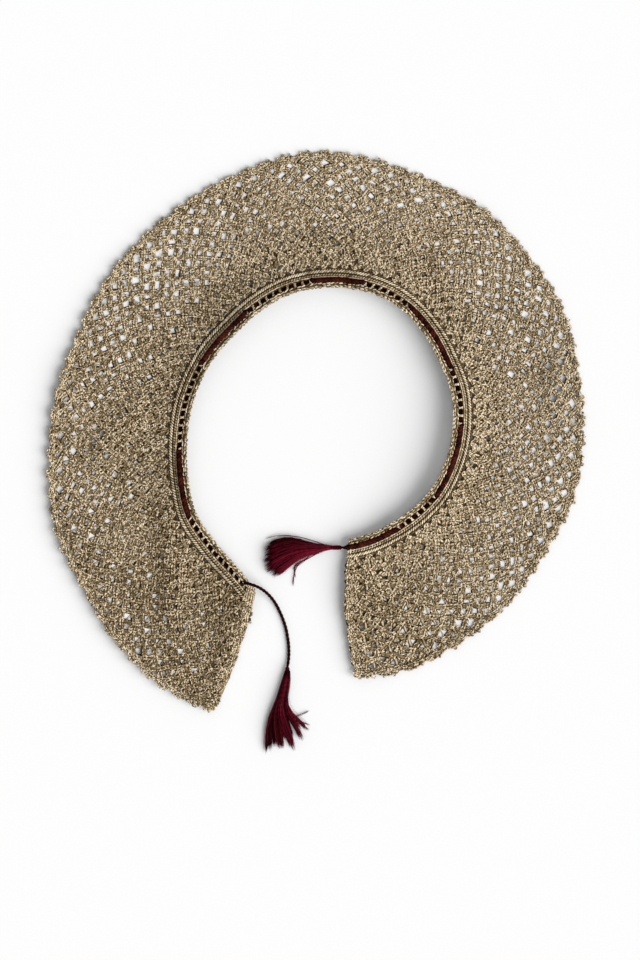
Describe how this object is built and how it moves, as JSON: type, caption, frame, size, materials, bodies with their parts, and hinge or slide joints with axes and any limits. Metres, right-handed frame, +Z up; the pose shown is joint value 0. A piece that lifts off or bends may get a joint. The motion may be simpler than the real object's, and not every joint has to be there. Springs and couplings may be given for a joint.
{
  "type": "crochet collar",
  "caption": "Openwork crochet neck collar laid flat, with an eyelet neckband, a scalloped hem, and a threaded twisted drawstring ending in tassels.",
  "frame": {"origin": "middle of the crochet's footprint, on the surface that the collar lies on", "axes": "+X to the right seen from above, +Y from the front opening to the back of the neck, +Z up"},
  "size_m": [0.2956, 0.3306, 0.0141],
  "materials": {
    "ecru_cotton": "matt twisted cotton thread, unbleached greyish ecru, worked in dense chain-stitch net",
    "burgundy_cord": "two-ply twisted cord, dark burgundy with a dull lustre",
    "burgundy_silk": "loose fine silk threads, burgundy with a soft lustre along the strands"
  },
  "bodies": {
    "root": {"neckband": "ecru_cotton", "net": "ecru_cotton", "hem_edging": "ecru_cotton", "drawstring": "burgundy_cord", "tassel_left": "burgundy_silk", "tassel_right": "burgundy_silk"}
  },
  "joints": []
}
